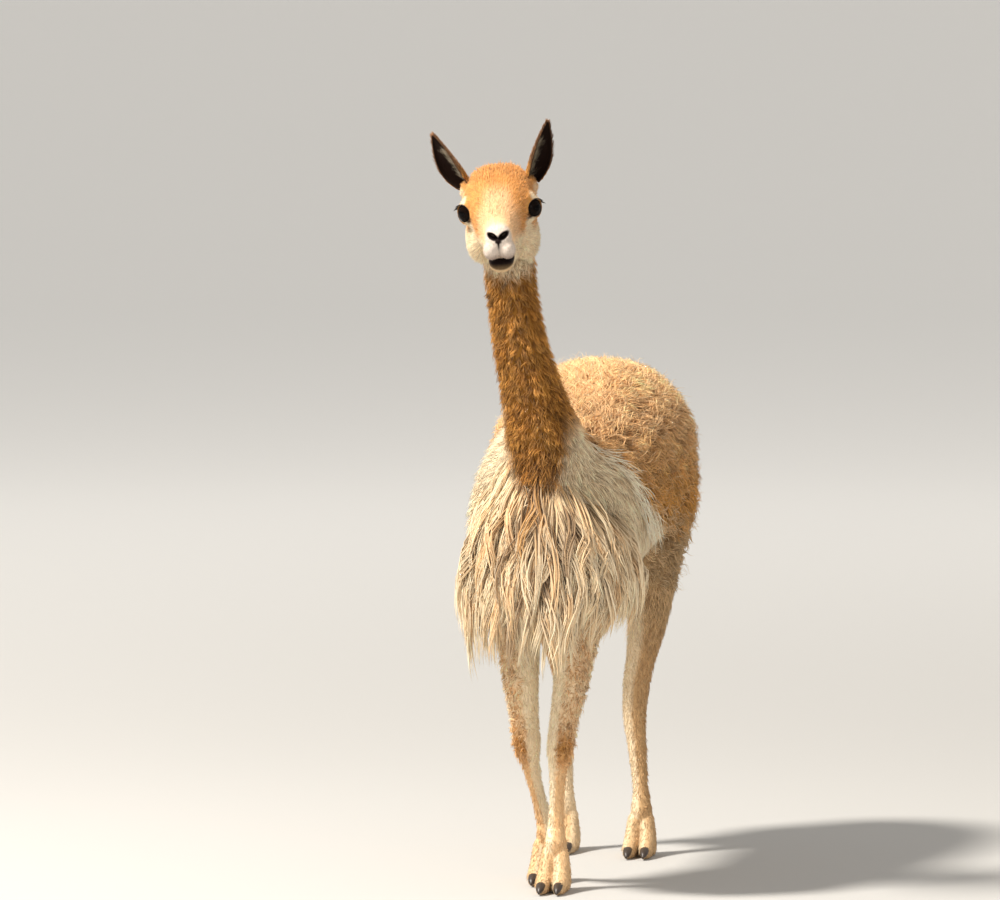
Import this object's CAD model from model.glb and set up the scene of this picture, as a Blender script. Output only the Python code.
# %% [markdown]
# # A vicuna in its coat
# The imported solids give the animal's size and pose. This lesson dresses them: one skin, a coat of
# solid tufts that follows the lie of the hair, wet eyes, horn on the toes, and a plain studio.
# The frame is loaded first, and the box of the solids is kept to measure the coat against.

# %% Load the frame
import math

import bmesh
import bpy
import numpy as np
from mathutils import Matrix, Vector


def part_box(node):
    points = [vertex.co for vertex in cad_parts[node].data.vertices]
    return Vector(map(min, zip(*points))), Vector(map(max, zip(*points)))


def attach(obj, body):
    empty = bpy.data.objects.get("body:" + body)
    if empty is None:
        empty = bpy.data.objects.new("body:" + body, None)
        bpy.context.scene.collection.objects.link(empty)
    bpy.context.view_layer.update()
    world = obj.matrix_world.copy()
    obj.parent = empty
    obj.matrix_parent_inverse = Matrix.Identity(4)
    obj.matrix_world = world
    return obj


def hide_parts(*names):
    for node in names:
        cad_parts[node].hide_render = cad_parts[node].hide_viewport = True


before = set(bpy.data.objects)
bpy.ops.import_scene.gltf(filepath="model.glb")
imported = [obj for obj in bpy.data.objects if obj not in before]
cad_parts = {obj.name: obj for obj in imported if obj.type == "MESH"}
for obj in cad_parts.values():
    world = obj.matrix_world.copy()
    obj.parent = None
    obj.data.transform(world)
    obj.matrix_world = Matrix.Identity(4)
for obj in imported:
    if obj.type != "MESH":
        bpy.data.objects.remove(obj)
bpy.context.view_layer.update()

# %% [markdown]
# The head has a frame of its own, midway between the eyes, with -Y along the muzzle. Its turn,
# nod and tilt are the pose that the animal holds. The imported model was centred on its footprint,
# so the two eye nodes tell where the modelling frame lies now.

# %% The head's frame, and where the modelling frame lies
EYE_CENTRE = Vector((-0.0485, -0.420, 1.156))
HEAD_YAW, HEAD_PITCH, HEAD_ROLL = (math.radians(turn) for turn in (8.0, 11.0, 5.0))
EYE_OUT = 0.0500
EYE_AHEAD = -0.006
EYE_SPOT = np.array((EYE_OUT, EYE_AHEAD, 0.0))
EYE_RADIUS = 0.0185


def node_middle(name):
    low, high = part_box(name)
    return (Vector(low) + Vector(high)) / 2


def eye_spot(side):
    return Vector((side * EYE_OUT, EYE_AHEAD, 0.0))


HEAD_TURN = (
    Matrix.Rotation(HEAD_YAW, 4, "Z")
    @ Matrix.Rotation(HEAD_PITCH, 4, "X")
    @ Matrix.Rotation(-HEAD_ROLL, 4, "Y")
)
BETWEEN_EYES = (node_middle("eye_left") + node_middle("eye_right")) / 2
HEAD = Matrix.Translation(BETWEEN_EYES) @ HEAD_TURN @ Matrix.Translation((0, -EYE_AHEAD, 0))
BODY = Matrix.Translation(HEAD.translation - EYE_CENTRE)
BODY.translation.z = 0.0
print("modelling frame moved by", [round(c, 4) for c in BODY.translation])

# %% [markdown]
# Soft animal forms are easiest as lofts: a few stations along a path, each with a half width and
# two reaches, and a smooth curve through them. They could be sculpted too, but stations can be
# measured on a picture and changed one number at a time.

# %% Stations, and the curve through them
RING = 36
SLIMMEST = 0.003
UP, FRONT = (0, 0, 1), (0, -1, 0)


def mm(*values):
    """Rows of six numbers, given in millimetres."""
    return np.round(np.array(values).reshape(-1, 6) / 1000, 6)


def curve_through(rows, steps):
    """Catmull-Rom stations between the given ones."""
    rows = np.array(rows, float)
    padded = np.vstack([2 * rows[0] - rows[1], rows, 2 * rows[-1] - rows[-2]])
    out = []
    for i in range(len(rows) - 1):
        a, b, c, d = padded[i : i + 4]
        for t in np.arange(steps) / steps:
            bend = (2 * a - 5 * b + 4 * c - d) * t**2 + (3 * b - a - 3 * c + d) * t**3
            out.append(0.5 * (2 * b + (c - a) * t + bend))
    out.append(rows[-1])
    return np.array(out)


def unit(vectors):
    return vectors / np.maximum(np.linalg.norm(vectors, axis=-1, keepdims=True), 1e-9)


def slimmer(rows, depth):
    """Rows drawn in by the depth of the coat that will stand on them."""
    return [(*row[:3], *(max(size - depth, SLIMMEST) for size in row[3:])) for row in rows]


print("rings have", RING, "points, and no reach is under", SLIMMEST, "m")

# %% [markdown]
# A loft lays a ring of points round every station and joins ring to ring with four-sided faces.
# The same grid of faces serves again for ears, lids, hairs and the floor, so it is a helper of
# its own. Bevelled curves could make limbs as well, but their sections stay round.

# %% Lofts


def add_object(name, mesh):
    made = bpy.data.objects.new(name, mesh)
    bpy.context.scene.collection.objects.link(made)
    return made


def quads(rows, columns, ring=True, loop=False):
    """Faces of a grid of points, closed round its columns (ring) or from its end to its start (loop)."""
    faces = []
    for i in range(rows if loop else rows - 1):
        a, b = i * columns, (i + 1) % rows * columns
        for k in range(columns if ring else columns - 1):
            m = (k + 1) % columns
            faces.append((a + k, a + m, b + m, b + k))
    return faces


def solid(name, points, faces, place=None):
    """An object of these points and faces, with its faces turned outwards."""
    mesh = bpy.data.meshes.new(name)
    mesh.from_pydata(points, [], faces)
    if place:
        mesh.transform(place)
    work = bmesh.new()
    work.from_mesh(mesh)
    bmesh.ops.recalc_face_normals(work, faces=work.faces)
    work.to_mesh(mesh)
    work.free()
    return add_object(name, mesh)


def loft(rows, front, place, steps=6, boxy=2.0, level=False, ring=RING):
    """A closed loft. Each row is x, y, z, half width, reach towards front, reach away from it."""
    fine = curve_through(rows, steps)
    centres = fine[:, :3]
    along = np.gradient(centres, axis=0)
    if level:
        along[:, :2] = 0.0
    along = unit(along)
    front = np.array(front, float)
    lead = unit(front - along * (along @ front)[:, None])
    side = np.cross(along, lead)
    angles = math.tau * np.arange(ring) / ring
    c, s = np.cos(angles), np.sin(angles)
    across = np.sign(s) * np.abs(s) ** (2 / boxy)
    onwards = np.sign(c) * np.abs(c) ** (2 / boxy)
    reach = np.where(c > 0, fine[:, 4:5], fine[:, 5:6])
    points = centres[:, None] + side[:, None] * (across * fine[:, 3:4])[..., None]
    points = points + lead[:, None] * (onwards * reach)[..., None]
    last = (len(fine) - 1) * ring
    caps = [tuple(range(ring))[::-1], tuple(range(last, last + ring))]
    return solid("loft", points.reshape(-1, 3).tolist(), quads(len(fine), ring) + caps, place)


print("a ring between two stations makes", len(quads(2, RING)), "faces")

# %% [markdown]
# Balls add the local swellings. A voxel remesh with a little smoothing then turns the whole pile
# into one even skin, as clay is pressed over an armature, where booleans alone would leave a
# crease at every meeting.

# %% Balls, and one skin over all


def ball(centre, radii, place, turn=None, segments=32):
    work = bmesh.new()
    bmesh.ops.create_uvsphere(work, u_segments=segments, v_segments=segments // 2, radius=1.0)
    spot = Matrix.Translation(centre) @ (turn or Matrix.Identity(4))
    spot = place @ spot @ Matrix.Diagonal((*radii, 1.0))
    bmesh.ops.transform(work, matrix=spot, verts=work.verts)
    mesh = bpy.data.meshes.new("ball")
    work.to_mesh(mesh)
    work.free()
    return add_object("ball", mesh)


def bake_modifiers(item):
    graph = bpy.context.evaluated_depsgraph_get()
    graph.update()
    mesh = bpy.data.meshes.new_from_object(item.evaluated_get(graph))
    item.modifiers.clear()
    old = item.data
    item.data = mesh
    bpy.data.meshes.remove(old)
    return item


def joined(name, pieces):
    """The pieces' meshes in one object; the pieces are removed."""
    work = bmesh.new()
    for piece in pieces:
        work.from_mesh(piece.data)
        bpy.data.objects.remove(piece)
    mesh = bpy.data.meshes.new(name)
    work.to_mesh(mesh)
    work.free()
    return add_object(name, mesh)


def remeshed(item, voxel, passes, keep=1.0):
    """One even skin over all the pieces, smoothed, and thinned to a share of its faces."""
    remesh = item.modifiers.new("skin", "REMESH")
    remesh.mode = "VOXEL"
    remesh.voxel_size = voxel
    ease = item.modifiers.new("ease", "SMOOTH")
    ease.factor = 0.5
    ease.iterations = passes
    if keep < 1.0:
        item.modifiers.new("thin", "DECIMATE").ratio = keep
    return bake_modifiers(item)


print("tools: ball, joined, remeshed")

# %% [markdown]
# The trunk is a deep barrel that rises to a woolly rump. The shoulders swell its front, the neck
# rises from between them, and the long hair of the chest hides a core of its own. These stations
# are the outer form of the coat; the skin lies under them by the depth of the wool. Each row is
# x, y and z, then half the width and the reaches ahead and behind, or up and down on the trunk.

# %% Stations of the trunk, the neck, the chest and the tail
FLEECE_DEPTH = 0.017
NECK_DEPTH = 0.011
BIB_DEPTH = 0.030
TAIL_DEPTH = 0.014
SHOULDER_DEPTH = 0.006

BARREL = mm(
    2, -330, 620, 60, 70, 80,
    2, -300, 630, 98, 105, 115,
    4, -240, 650, 128, 125, 160,
    6, -150, 660, 148, 136, 185,
    10, -30, 670, 158, 164, 188,
    14, 100, 685, 169, 187, 175,
    16, 220, 700, 174, 184, 160,
    17, 310, 690, 158, 174, 150,
    17, 380, 675, 120, 132, 125,
    17, 416, 660, 66, 74, 78,
)
NECK = mm(
    4, -215, 660, 100, 120, 130,
    4, -265, 710, 90, 115, 125,
    4, -300, 766, 71, 92, 100,
    -8, -322, 834, 58, 72, 80,
    -29, -340, 935, 50, 58, 64,
    -40, -350, 1020, 47.5, 52, 57,
    -45, -356, 1080, 47, 50, 54,
    -49, -368, 1130, 46, 50, 50,
    -51, -385, 1165, 36, 40, 40,
)
BIB = mm(
    4, -300, 775, 60, 78, 60,
    6, -290, 730, 80, 98, 90,
    8, -276, 680, 106, 118, 110,
    10, -264, 610, 134, 138, 118,
    12, -258, 530, 149, 150, 120,
    9, -262, 465, 144, 144, 110,
    2, -272, 410, 130, 120, 80,
    -8, -285, 375, 95, 85, 45,
    -12, -295, 352, 45, 45, 15,
)
TAIL = mm(
    21, 370, 785, 26, 22, 26,
    21, 402, 765, 34, 26, 32,
    21, 430, 715, 42, 28, 30,
    21, 438, 655, 43, 28, 28,
    22, 432, 600, 38, 26, 26,
    23, 424, 550, 26, 18, 18,
    24, 420, 520, 10, 8, 8,
)
SHOULDER = mm(
    50, -120, 780, 8, 10, 12,
    56, -135, 750, 36, 45, 60,
    72, -165, 685, 58, 80, 92,
    82, -190, 600, 60, 90, 95,
    74, -195, 520, 54, 78, 80,
    60, -200, 450, 42, 60, 60,
    58, -202, 405, 12, 20, 20,
)
print("stations:", sum(map(len, (BARREL, NECK, BIB, TAIL, SHOULDER))))

# %% [markdown]
# The legs are slender under the wool. The animal is walking slowly: its right forefoot is behind
# the left one. Each leg is one loft from deep inside the trunk to the fetlock, and each foot has
# the two padded toes of a camelid. A toe's first number is thousandths of the toes' spread.

# %% Stations of the legs and toes
LEG_DEPTH = 0.0055
FOOT_DEPTH = 0.0020
TOE_SPREAD = 0.0140

LEGS = {
    "fore_left": mm(
        58, -205, 480, 44, 62, 62,
        47, -215, 420, 39, 48, 50,
        36, -222, 340, 32.5, 36, 38,
        27, -230, 285, 28, 30, 30,
        23, -236, 240, 27.5, 31, 27,
        18.5, -232, 205, 20.5, 22, 22,
        15.5, -232, 150, 17, 17.5, 20,
        15, -234, 105, 19.5, 21, 25,
        15, -238, 78, 23.5, 26, 28,
    ),
    "fore_right": mm(
        -58, -205, 480, 44, 62, 62,
        -52, -212, 420, 39, 48, 50,
        -48, -206, 340, 32.5, 36, 38,
        -44, -197, 285, 28, 30, 30,
        -42, -188, 244, 27.5, 31, 27,
        -39, -173, 208, 20.5, 22, 22,
        -30, -152, 152, 17, 17.5, 20,
        -21, -134, 105, 19.5, 21, 25,
        -17, -128, 78, 23.5, 26, 28,
    ),
    "hind_left": mm(
        70, 250, 810, 10, 14, 16,
        82, 245, 765, 68, 90, 110,
        92, 238, 710, 78, 115, 140,
        104, 228, 640, 74, 115, 160,
        105, 222, 560, 61, 100, 138,
        103, 226, 490, 49, 72, 100,
        96, 246, 410, 37.5, 43, 60,
        81, 270, 345, 30.5, 31, 38,
        72, 280, 300, 28.5, 28, 35,
        70, 272, 245, 25.5, 23, 26,
        76, 265, 185, 21.5, 20, 22,
        82, 259, 130, 19, 19, 22,
        84, 256, 105, 20, 21, 24,
        85, 255, 78, 23.5, 26, 28,
    ),
    "hind_right": mm(
        -50, 250, 810, 10, 14, 16,
        -62, 245, 765, 68, 90, 110,
        -76, 240, 710, 78, 115, 140,
        -88, 235, 640, 74, 115, 155,
        -90, 235, 560, 60, 100, 135,
        -87, 246, 490, 48, 72, 98,
        -77, 274, 410, 37, 43, 58,
        -66, 303, 345, 28.5, 31, 38,
        -60, 316, 300, 25.5, 28, 35,
        -58, 310, 250, 20.5, 22, 25,
        -58, 304, 170, 18, 18.5, 21,
        -58, 300, 108, 19.5, 21, 24,
        -58, 300, 78, 23.5, 26, 28,
    ),
}
TOE = mm(
    400, 4, 80, 10, 12, 12,
    600, -2, 62, 15, 18, 18,
    900, -16, 38, 13.5, 17, 21,
    1020, -34, 23, 13, 14, 26,
    1050, -52, 15, 11.5, 11, 20,
    1050, -64, 10, 6.5, 7, 12,
)
HEEL = mm(
    500, 6, 60, 13, 14, 14,
    750, 10, 38, 14, 15, 17,
    920, 4, 18, 13.8, 17, 20,
    1000, -18, 12, 13.2, 14, 18,
)
print("legs:", ", ".join(LEGS))

# %% [markdown]
# The body's skin is built at five millimetres, fine enough for muscle and wool to lie over it.
# Feet need their cleft, so they are built finer, and cut flat at the floor where the pads rest.

# %% Skin of the body and feet
BODY_VOXEL = 0.0055
FOOT_VOXEL = 0.0024
BODY_KEEP = 0.48
FOOT_KEEP = 0.45
PAD_LEVEL = 0.0004


def body_skin():
    pieces = [loft(slimmer(BARREL, FLEECE_DEPTH), UP, BODY, boxy=2.25)]
    for side in (1, -1):
        rows = SHOULDER * (side, 1, 1, 1, 1, 1)
        pieces.append(loft(slimmer(rows, SHOULDER_DEPTH), FRONT, BODY))
    pieces.append(loft(slimmer(NECK, NECK_DEPTH), FRONT, BODY))
    pieces.append(loft(slimmer(BIB[:-3], BIB_DEPTH), FRONT, BODY, level=True))
    pieces.append(loft(slimmer(TAIL, TAIL_DEPTH), FRONT, BODY))
    pieces += [loft(slimmer(rows, LEG_DEPTH), FRONT, BODY) for rows in LEGS.values()]
    return remeshed(joined("body", pieces), BODY_VOXEL, 6, BODY_KEEP)


def foot_skin(rows):
    x, y, z = rows[-1][:3]
    pieces = []
    for toe in (1, -1):
        for stations in (TOE, HEEL):
            placed = [(x + toe * TOE_SPREAD * r[0], y + r[1], *r[2:]) for r in stations]
            pieces.append(loft(slimmer(placed, FOOT_DEPTH / 2), UP, BODY, steps=4))
    pastern = [*slimmer(rows[-2:], LEG_DEPTH), (x, y - 0.002, z - 0.018, 0.016, 0.017, 0.017)]
    pieces.append(loft(pastern, FRONT, BODY))
    made = remeshed(joined("foot", pieces), FOOT_VOXEL, 3, FOOT_KEEP)
    for vertex in made.data.vertices:
        vertex.co.z = max(vertex.co.z, PAD_LEVEL)
    return made


body = body_skin()
feet = [foot_skin(rows) for rows in LEGS.values()]
foot_faces = sum(len(item.data.polygons) for item in feet)
print("body skin:", len(body.data.polygons), "faces; feet:", foot_faces)

# %% [markdown]
# The head gets the most care. Its long skull, cheeks, brows, lids and the two lobes of the upper
# lip are pressed together, then the eye openings, the slanted nostrils, the cleft of the lip and
# the line of the mouth are cut, and a second fine remesh softens every cut edge into skin.

# %% Skin of the head
FACE_DEPTH = 0.0020
HEAD_VOXEL = 0.0024
FACE_VOXEL = 0.0018
FACE_KEEP = 0.72
LID_SLIT = (0.0186, 0.0160, 0.0160)
LID_AHEAD = 0.020
LOOK = Vector((0.74, -0.67, 0.05))

SKULL = mm(
    0, 109, -4, 7, 7, 9,
    0, 105, -4, 21, 21, 28,
    0, 98, -3, 36, 37, 48,
    0, 86, -2, 48, 49, 62,
    0, 60, 0, 57.5, 62, 74,
    0, 32, 0, 60, 64, 80,
    0, 8, 0, 58.5, 58, 80,
    0, -14, -4, 54, 50, 72,
    0, -36, -11, 46, 45, 60,
    0, -58, -19, 37, 41, 50,
    0, -80, -25, 30.5, 37, 41,
    0, -100, -29, 27.2, 34, 35,
    0, -114, -31, 24.2, 28, 30,
    0, -124, -33, 18.8, 20, 22,
    0, -130, -34, 9.5, 10, 12,
)
JAW = mm(
    0, -118, -70, 10, 6, 8,
    0, -110, -69, 19, 11, 14,
    0, -92, -66, 22, 14, 16,
    0, -60, -62, 24, 18, 18,
    0, -20, -62, 32, 24, 24,
    0, 20, -60, 34, 24, 26,
)
# Swellings of the left side: centre and radii of the cheek, brow, socket, ear's base and lip.
SWELLINGS = mm(
    36, 20, -50, 24, 48, 40,
    43, 2, 16, 17, 31, 15,
    50, -6, 0, 21.5, 21.5, 21.5,
    47, 44, 24, 16.5, 20, 20,
    44, 34, 10, 16, 26, 24,
    13.6, -116, -41.5, 13.2, 19, 15.8,
)
MOUTH = mm(0, -150, -59.5, 34, 1.8, 1.8, 0, -108, -57, 34, 1.8, 1.8, 0, -78, -50, 37, 1.5, 1.5)
CLEFT = mm(0, -138, -20, 1.6, 6, 6, 0, -134, -40, 1.2, 6, 6, 0, -132, -57, 1.2, 6, 6)
NOSTRIL = (0.0090, -0.1262, -0.0170)
NOSTRIL_SIZE = (0.0098, 0.014, 0.0048)
NOSTRIL_SLANT = math.radians(30)


def looking(side):
    return Vector((side * LOOK.x, LOOK.y, LOOK.z)).normalized()


def head_pieces():
    pieces = [loft(slimmer(SKULL, FACE_DEPTH), UP, HEAD, boxy=2.5)]
    pieces.append(loft(slimmer(JAW, FACE_DEPTH / 2), UP, HEAD))
    pieces.append(loft(slimmer(NECK[3:], NECK_DEPTH), FRONT, BODY))
    for side in (1, -1):
        pieces += [ball((side * x, y, z), radii, HEAD) for x, y, z, *radii in SWELLINGS]
    return pieces


def cutters():
    made = [loft(MOUTH, UP, HEAD, boxy=6.0), loft(CLEFT, FRONT, HEAD)]
    for side in (1, -1):
        facing = looking(side).to_track_quat("Z", "Y").to_matrix().to_4x4()
        made.append(ball(eye_spot(side), (EYE_RADIUS - 0.0006,) * 3, HEAD))
        made.append(ball(eye_spot(side) + looking(side) * LID_AHEAD, LID_SLIT, HEAD, facing))
        slant = Matrix.Rotation(-side * NOSTRIL_SLANT, 4, "Y")
        made.append(ball((side * NOSTRIL[0], *NOSTRIL[1:]), NOSTRIL_SIZE, HEAD, slant))
    return made


def head_skin():
    head = remeshed(joined("head", head_pieces()), HEAD_VOXEL, 3)
    for cutter in cutters():
        carve = head.modifiers.new("carve", "BOOLEAN")
        carve.operation = "DIFFERENCE"
        carve.object = cutter
        carve.solver = "MANIFOLD"
        bake_modifiers(head)
        bpy.data.objects.remove(cutter)
    return remeshed(head, FACE_VOXEL, 2, FACE_KEEP)


head = head_skin()
print("head skin:", len(head.data.polygons), "faces")

# %% [markdown]
# An ear is a lance-shaped leaf rolled into a cup. The roll opens towards its tip, so each row of
# the grid is an arc whose angle shrinks as it climbs. Its root is sunk in the head.

# %% The ears
EAR_LENGTH = 0.102
EAR_ROWS = 25
EAR_COLUMNS = 21
EAR_THICK = 0.0020
EAR_ROOT = (0.0545, 0.046, 0.034)
EAR_SINK = -0.0004


def ear_place(side):
    outwards = Matrix.Rotation(side * math.radians(25 - side * 4), 4, "Y")
    back = Matrix.Rotation(math.radians(-8), 4, "X")
    open_out = Matrix.Rotation(side * math.radians(22), 4, "Z")
    root = Matrix.Translation((side * EAR_ROOT[0], *EAR_ROOT[1:]))
    return HEAD @ root @ outwards @ back @ open_out


def ear_arc(t):
    """Radius, wrap and setback of the cup at a share t of the ear's length."""
    width = 0.0184 * np.sin(math.pi * (0.20 + 0.80 * t)) ** 0.75 * (1 - 0.10 * t)
    width = np.maximum(width, 0.0008)
    wrap = np.radians(118 - 50 * t)
    radius = width / np.sin(np.minimum(wrap, math.pi / 2))
    return radius, wrap, radius * 0.35 + 0.010 * np.sin(math.pi * t)


def ear_point(side, t, across, lift):
    """A point of the cup: across runs from -1 to 1 over the roll, lift stands off its back."""
    radius, wrap, setback = ear_arc(t)
    angle = wrap * across
    reach = radius + lift
    local = np.stack([np.sin(angle) * reach, np.cos(angle) * reach - setback, t * EAR_LENGTH], axis=-1)
    place = np.array(ear_place(side))
    return local @ place[:3, :3].T + place[:3, 3]


def ear_skin(side):
    t, across = np.meshgrid(np.linspace(0, 0.99, EAR_ROWS), np.linspace(-1, 1, EAR_COLUMNS), indexing="ij")
    outer = ear_point(side, t, across, EAR_SINK)
    inner = ear_point(side, t, across, EAR_SINK - EAR_THICK * (1 - 0.5 * t))
    points = np.concatenate([outer.reshape(-1, 3), inner.reshape(-1, 3)])
    grid = np.arange(EAR_ROWS * EAR_COLUMNS).reshape(EAR_ROWS, EAR_COLUMNS)
    count = grid.size
    faces = quads(EAR_ROWS, EAR_COLUMNS, ring=False)
    faces += [tuple(i + count for i in face[::-1]) for face in faces]
    rim = [*grid[:, 0], *grid[-1, 1:], *grid[-2::-1, -1], *grid[0, -2:0:-1]]
    faces += [(a, b, b + count, a + count) for a, b in zip(rim, rim[1:] + rim[:1])]
    return solid("ear", points.tolist(), faces)


ears = [ear_skin(side) for side in (1, -1)]
print("ears:", sum(len(item.data.polygons) for item in ears), "faces")

# %% [markdown]
# The colours of a vicuna are cinnamon above and cream below. A painted picture wrapped on the
# skin could carry them, but a function of place is sharper: both the skin and every tuft ask it,
# so the markings always agree. Colours are laid over each other in layers, and their borders
# waver by a soft unevenness made of a few sine waves.

# %% Tones, and how they are mixed


def tone(red, green, blue):
    """A colour given as it looks on a screen, from 0 to 255, made linear."""
    values = np.array((red, green, blue)) / 255
    return np.where(values <= 0.04045, values / 12.92, ((values + 0.055) / 1.055) ** 2.4)


CINNAMON = tone(218, 160, 80)
SUN_TAN = tone(254, 210, 158)
NECK_TAN = tone(184, 128, 56)
CREAM = tone(250, 231, 199)
BIB_CREAM = tone(255, 242, 218)
BROWN = tone(122, 80, 34)
DIRTY = tone(218, 186, 142)
ORANGE_TAN = tone(222, 160, 90)
DARK_SKIN = tone(24, 14, 13)


def blend(first, second, share):
    return first + (second - first) * np.clip(share, 0, 1)[:, None]


def painted(colour, *layers):
    """A colour under layers, each of them another colour and its share."""
    for other, share in layers:
        colour = blend(colour, other, share)
    return colour


def ramp(value, low, high):
    t = np.clip((value - low) / (high - low), 0, 1)
    return t * t * (3 - 2 * t)


def near(points, centre, radius):
    """1 at a place, falling to 0 at the radius."""
    return 1 - ramp(np.linalg.norm(points - np.array(centre), axis=1), 0.45 * radius, radius)


def ripple(points, size, seed):
    """A seeded unevenness of about -1 to 1, in lumps of about this size."""
    draw = np.random.default_rng(seed)
    total = np.zeros(len(points))
    for _ in range(10):
        way = unit(draw.normal(size=3))
        turns = draw.uniform(0.6, 1.7) / size
        total += np.sin(points @ way * math.tau * turns + draw.uniform(0, math.tau))
    return np.clip(total / 2.6, -1, 1)


print("cinnamon is", np.round(CINNAMON, 3), "and cream is", np.round(CREAM, 3))

# %% [markdown]
# A marking is described best where it grows. The head's markings are given in the head's own
# frame, and those of neck, chest and legs by their turn round the limb, so they follow the pose.

# %% Places on the animal


def body_space(points):
    return points - np.array(BODY.translation)


def head_space(points):
    back = np.array(HEAD.inverted())
    return points @ back[:3, :3].T + back[:3, 3]


def on_left(q):
    """Places of the head, folded over to its left side."""
    return np.stack([np.abs(q[:, 0]), q[:, 1], q[:, 2]], axis=1)


def turn_about(rows, p, back=1):
    """Turn of places round upright stations, from straight back, or from straight ahead if -1."""
    rows = rows[np.argsort(rows[:, 2])]
    x, y = (p[:, k] - np.interp(p[:, 2], rows[:, 2], rows[:, k]) for k in (0, 1))
    return np.arctan2(x, back * y)


def bib_turn_at(p):
    """Turn round the chest from straight ahead."""
    return turn_about(BIB, p, -1)


def over_neck_base(p):
    """Height over the slanted plane where the neck leaves the trunk."""
    return (p[:, 2] - 0.790) + (p[:, 1] + 0.270) * -0.37


def neck_wedge(p):
    """How far the neck's wool runs down over the front of the chest."""
    return 0.090 * np.exp(-((bib_turn_at(p) / 0.46) ** 2)) * (p[:, 1] < -0.28)


print("straight ahead of the chest the turn is", bib_turn_at(np.array([[0.009, -1.0, 0.6]])))

# %% [markdown]
# The back is cinnamon, bleached by the sun on top and mottled with brown. On the flank it gives
# way to cream along a ragged line that sinks from the shoulder to the rump. The neck is the
# darkest part, and its wool runs down over the chest. Each colour fades in by a ramp of height,
# facing or unevenness, which a reader can move by a number.

# %% Colours of the trunk and neck
# Height of the border between cinnamon and cream, from the shoulder to the rump.
BORDER_Y = (-0.30, -0.20, -0.10, 0.05, 0.16, 0.26, 0.34, 0.42)
BORDER_Z = (0.810, 0.716, 0.640, 0.608, 0.612, 0.590, 0.575, 0.600)
RIGHT_HIGHER = 0.170


def cream_share(p, normals):
    """How far the trunk's cinnamon has given way to cream: on the flank's lower part and the belly."""
    x, y, z = p.T
    thigh = ramp(y, 0.05, 0.16)
    border = np.interp(y, BORDER_Y, BORDER_Z)
    border = border + (0.016 + 0.016 * thigh) * ripple(p, 0.060, 1) + 0.006 * ripple(p, 0.018, 2)
    border = border + RIGHT_HIGHER * ramp(-x, 0.01, 0.06) * ramp(-y, -0.03, 0.06)
    low = ramp(border - z, -0.012 - 0.030 * thigh, 0.028 + 0.020 * thigh)
    return np.maximum(low, ramp(-normals[:, 2], 0.45, 0.80))


def trunk_colour(p, normals):
    _, y, z = p.T
    rear = ramp(y, 0.05, 0.16)
    fine, patches = ripple(p, 0.018, 2), ripple(p, 0.045, 3)
    colour = painted(
        CINNAMON,
        (SUN_TAN, ramp(z, 0.62, 0.82) * 0.9 + 0.12 * fine),
        (BROWN, 0.50 * ramp(patches + 0.5 * fine, 0.0, 1.1) * (1 - ramp(z, 0.78, 0.87))),
    )
    pale = painted(CREAM, (DIRTY, rear), (BROWN, 0.28 * ramp(ripple(p, 0.012, 10), 0.3, 0.9) * rear))
    return blend(colour, pale, cream_share(p, normals)) * (1 + 0.05 * fine)[:, None]


def neck_colour(p, normals):
    z = p[:, 2]
    fine = ripple(p * np.array((1.0, 1.0, 0.35)), 0.010, 4)
    front = ramp(-normals[:, 1], 0.35, 0.95)
    mixed = (1 - ramp(z, 0.66, 0.73)) * ramp(ripple(p, 0.009, 14), 0.0, 0.4)
    sides = ramp(np.abs(p[:, 0] + 0.002), 0.040, 0.066) * (1 - ramp(z + 0.3 * p[:, 0], 0.79, 0.85))
    return painted(
        NECK_TAN,
        (CINNAMON, 0.45 + 0.4 * ripple(p, 0.05, 5)),
        (BROWN, 0.55 * ramp(fine, 0.15, 0.9)),
        (BROWN, 0.65 * front * (1 - ramp(z, 0.69, 0.77)) * ramp(fine, -0.5, 0.5)),
        (CREAM, front * ramp(z, 1.02, 1.10) * 0.75),
        (BIB_CREAM, front * mixed * 0.8),
        (CREAM, sides),
    )


print("the cream border runs from", BORDER_Z[0], "to", BORDER_Z[-1], "m")

# %% [markdown]
# The legs are peach and cream, paler on their inner side. The front of the forearm is tan, the
# knee has a golden patch, and the hocks are greyer.

# %% Colours of the legs
KNEE_GOLD = tone(188, 132, 62)
HOCK_TAN = tone(206, 168, 122)
PEACH = tone(242, 200, 150)
BEIGE = tone(224, 194, 154)
INNER_FACING = (-0.10, 0.35)
CURL_KNEE = 0.247
KNEE_HALF = 0.026


def leg_colour(p, normals):
    x, y, z = p.T
    hind = y > 0.05
    middle = np.where(hind, np.where(x > 0, 0.075, -0.060), np.where(x > 0, 0.022, -0.040))
    inner = ramp(-np.sign(middle) * normals[:, 0], *INNER_FACING)
    wave, fine = ripple(p, 0.022, 6), ripple(p, 0.010, 7)
    front = ramp(-normals[:, 1], -0.2, 0.7)
    knee = ramp(-normals[:, 1], 0.1, 0.7) * np.exp(-(((z - CURL_KNEE) / KNEE_HALF) ** 2))
    fore = painted(
        PEACH,
        (CREAM, ramp(z, 0.23, 0.30) * (0.75 + 0.40 * fine)),
        (ORANGE_TAN, front * ramp(z, 0.19, 0.24) * ramp(fine, 0.0, 0.8) * 0.65),
        (KNEE_GOLD, 0.80 * knee),
        (CREAM, inner * 0.95),
    )
    back = painted(
        HOCK_TAN,
        (DIRTY, ramp(z, 0.34, 0.46)),
        (BROWN, ramp(z, 0.30, 0.40) * ramp(0.5 * wave + fine, 0.45, 1.0) * 0.50),
        (CREAM, inner * 0.8),
    )
    return blend(np.where(hind[:, None], back, fore), BEIGE, (1 - ramp(z, 0.04, 0.10)) * 0.5)


print("the knee's patch is at", CURL_KNEE, "m")

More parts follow.
